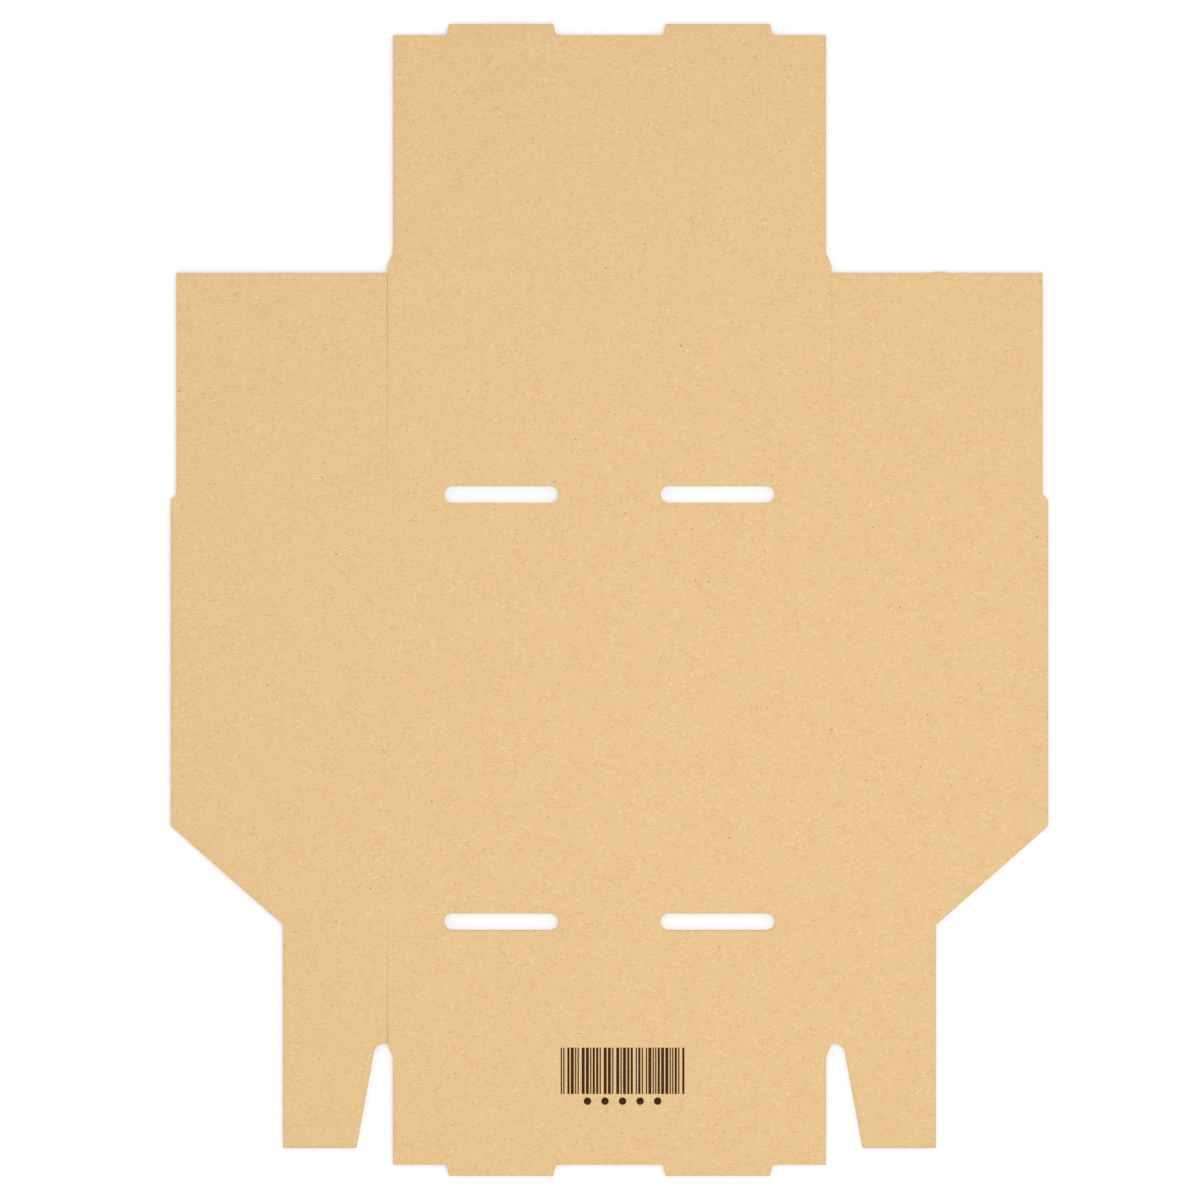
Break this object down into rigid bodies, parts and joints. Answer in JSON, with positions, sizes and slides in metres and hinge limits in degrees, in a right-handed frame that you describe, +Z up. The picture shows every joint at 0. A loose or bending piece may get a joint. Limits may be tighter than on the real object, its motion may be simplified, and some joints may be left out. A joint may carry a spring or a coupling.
{
  "type": "flattened cardboard box",
  "caption": "Flat die-cut blank of an open-fronted shelf bin in brown corrugated board, with double walls, dust flaps, tabs and slots.",
  "frame": {"origin": "centre of the blank's bounding box, on the surface that it lies on", "axes": "+Z up out of the printed outer face; +Y from the low front wall to the high back wall; +X to the right"},
  "size_m": [0.395, 0.5184, 0.003],
  "materials": {
    "kraft_board": "matt brown kraft liner with fine flecks"
  },
  "bodies": {
    "root": {"carton_blank": "kraft_board"}
  },
  "joints": []
}
